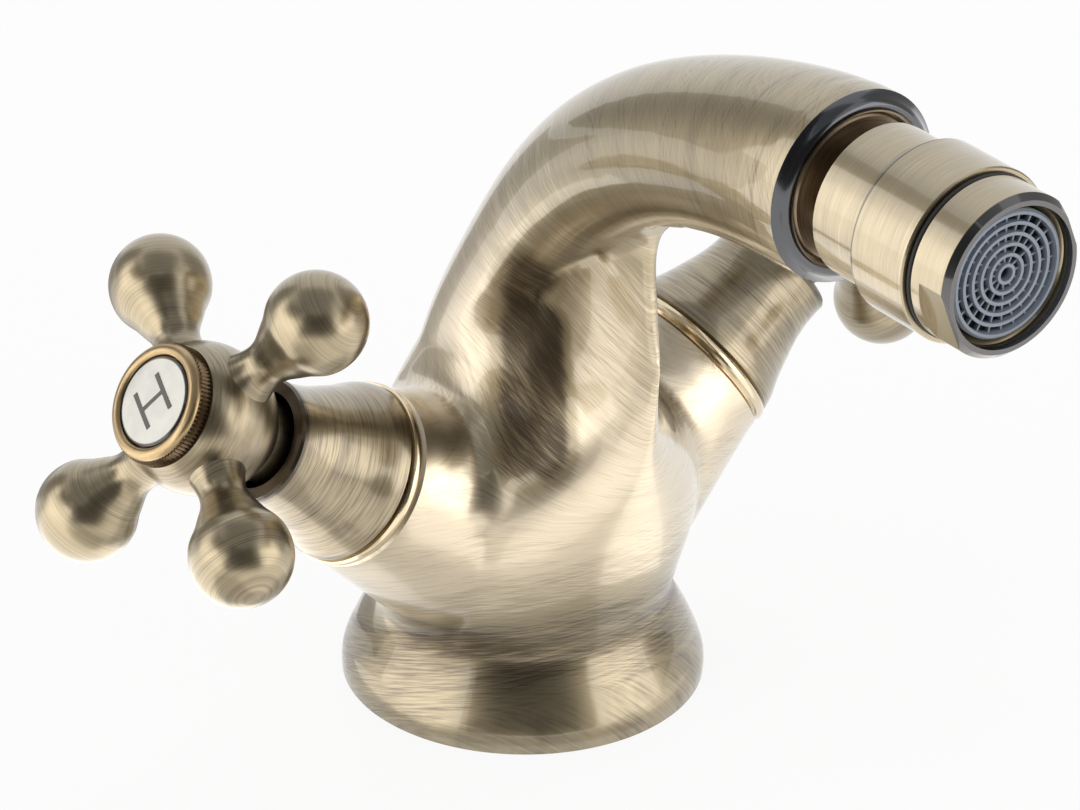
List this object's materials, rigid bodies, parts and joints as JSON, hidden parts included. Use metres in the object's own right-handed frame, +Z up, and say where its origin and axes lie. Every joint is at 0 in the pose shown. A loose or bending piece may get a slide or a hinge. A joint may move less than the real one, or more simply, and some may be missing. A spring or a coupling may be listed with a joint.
{
  "type": "bidet mixer tap",
  "caption": "Two-handle single-hole bidet mixer with cross handles, angled valve bosses, a swan-neck spout and a swivelling aerator nozzle.",
  "frame": {"origin": "centre of the foot's underside, on the deck surface", "axes": "+Z up away from the deck, -Y toward the spout's mouth, -X toward the hot valve; the product is mirrored about the YZ plane apart from the rest angle of its handles"},
  "size_m": [0.1853, 0.1644, 0.1477],
  "materials": {
    "antique_brass": "brushed",
    "bright_brass": "polished",
    "golden_brass": "satin",
    "raw_brass": "machined",
    "steel": "satin",
    "ceramic": "lapped ceramic",
    "cream_enamel": "gloss",
    "black_rubber": "matte",
    "grey_plastic": "satin",
    "white_plastic": "matte"
  },
  "bodies": {
    "mixer": {"body_casting": "antique_brass", "foot_seal": "black_rubber", "ball_spigot": "raw_brass", "hot_cover": "antique_brass", "hot_cover_ring": "bright_brass", "hot_headwork": "raw_brass", "hot_fixed_disc": "ceramic", "hot_seat_seal": "black_rubber", "cold_cover": "antique_brass", "cold_cover_ring": "bright_brass", "cold_headwork": "raw_brass", "cold_fixed_disc": "ceramic", "cold_seat_seal": "black_rubber"},
    "hot_control": {"hot_handle": "antique_brass", "hot_spindle": "raw_brass", "hot_turning_disc": "ceramic", "hot_handle_screw": "steel", "hot_bezel": "golden_brass", "hot_index_disc": "cream_enamel"},
    "cold_control": {"cold_handle": "antique_brass", "cold_spindle": "raw_brass", "cold_turning_disc": "ceramic", "cold_handle_screw": "steel", "cold_bezel": "golden_brass", "cold_index_disc": "cream_enamel"},
    "ball_seat": {"ball_liner": "white_plastic"},
    "nozzle": {"nozzle_cup": "antique_brass", "nozzle_collar": "antique_brass", "nozzle_gasket": "black_rubber", "aerator_head": "antique_brass", "aerator_insert": "grey_plastic", "aerator_washer": "black_rubber"}
  },
  "joints": [
    {"name": "hot_turn", "type": "hinge", "parent": "mixer", "child": "hot_control", "pos_m": [-0.06881, 0, 0.07166], "axis": [-0.831, 0, 0.5563], "range_deg": [0, 180]},
    {"name": "cold_turn", "type": "hinge", "parent": "mixer", "child": "cold_control", "pos_m": [0.06881, 0, 0.07166], "axis": [0.831, 0, 0.5563], "range_deg": [-180, 0]},
    {"name": "nozzle_tilt", "type": "hinge", "parent": "mixer", "child": "ball_seat", "pos_m": [0, -0.0989, 0.1311], "axis": [1, 0, 0], "range_deg": [-10, 10]},
    {"name": "nozzle_swing", "type": "hinge", "parent": "ball_seat", "child": "nozzle", "pos_m": [0, -0.0989, 0.1311], "axis": [0, 0, 1], "range_deg": [-10, 10]}
  ]
}
